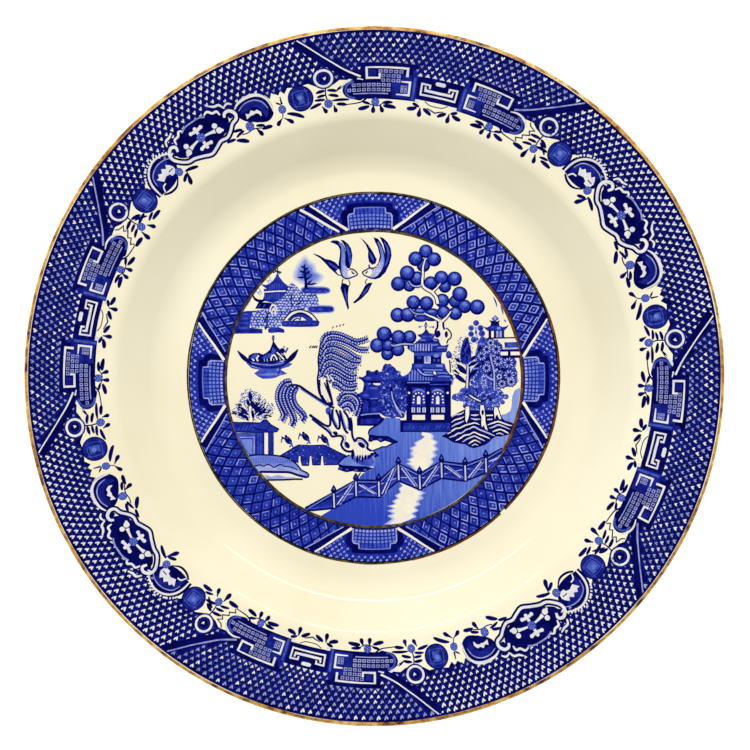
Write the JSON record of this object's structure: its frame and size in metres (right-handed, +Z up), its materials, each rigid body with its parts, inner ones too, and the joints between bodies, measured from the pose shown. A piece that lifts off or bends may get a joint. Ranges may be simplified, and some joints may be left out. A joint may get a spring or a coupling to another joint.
{
  "type": "china dinner plate",
  "caption": "Round china dinner plate with a flat well, raised cavetto, sloping printed rim flange, gilded edge and a turned foot ring.",
  "frame": {"origin": "centre of the foot ring's standing plane", "axes": "+Z up along the plate's turning axis, out of the food side; +Y towards the top of the printed scene"},
  "size_m": [0.254, 0.254, 0.023],
  "materials": {
    "fired_clay": "unglazed fine-grained white earthenware",
    "clear_glaze": "glossy ivory-toned lead-free glaze",
    "border_ink": "cobalt blue underglaze transfer print",
    "well_ink": "cobalt blue underglaze transfer print",
    "gilding": "worn burnished gold line",
    "aged_gilding": "thin rubbed gold line, browned with age"
  },
  "bodies": {
    "root": {"clay_body": "fired_clay", "face_glaze": "clear_glaze", "base_glaze": "clear_glaze", "border_print_1": "border_ink", "border_print_2": "border_ink", "border_print_3": "border_ink", "border_print_4": "border_ink", "well_band_print": "well_ink", "centre_scene_print": "well_ink", "gilt_edge_line": "gilding", "gilt_outer_line": "aged_gilding", "gilt_inner_line": "aged_gilding"}
  },
  "joints": []
}
